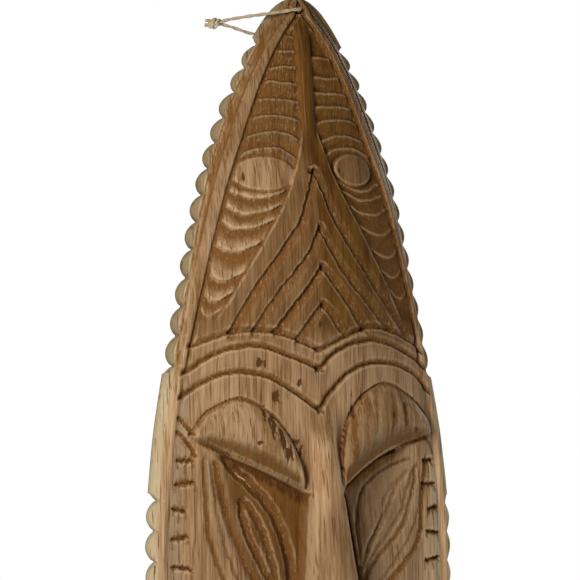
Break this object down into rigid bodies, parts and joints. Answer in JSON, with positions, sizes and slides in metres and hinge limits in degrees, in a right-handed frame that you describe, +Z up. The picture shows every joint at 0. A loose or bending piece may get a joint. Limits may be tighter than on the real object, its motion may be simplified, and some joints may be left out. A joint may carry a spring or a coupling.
{
  "type": "carved wooden wall mask",
  "caption": "Tall carved wooden wall mask with a pointed crown, scalloped rim, chevrons and brow arcs, long nose, scooped back and a knotted twine hanging loop.",
  "frame": {"origin": "where the axis of the hanging hole near the crown's tip meets the wall plane", "axes": "+Z up along the mask towards the crown's tip, +Y into the wall, so the face looks towards -Y, and +X towards the viewer's right"},
  "size_m": [0.1916, 0.0616, 0.601],
  "materials": {
    "carved_wood": "bare open-pored light hardwood, brown stain left in the cuts, pale on worn edges",
    "twine": "natural two-ply twisted plant fibre, slightly hairy"
  },
  "bodies": {
    "mask": {"mask_body": "carved_wood"},
    "loop": {"hanging_cord": "twine", "cord_knot": "twine"}
  },
  "joints": [
    {"name": "loop_swing", "type": "hinge", "parent": "mask", "child": "loop", "pos_m": [0, 0, 0], "axis": [0, 1, 0], "range_deg": [-15, 210]}
  ]
}
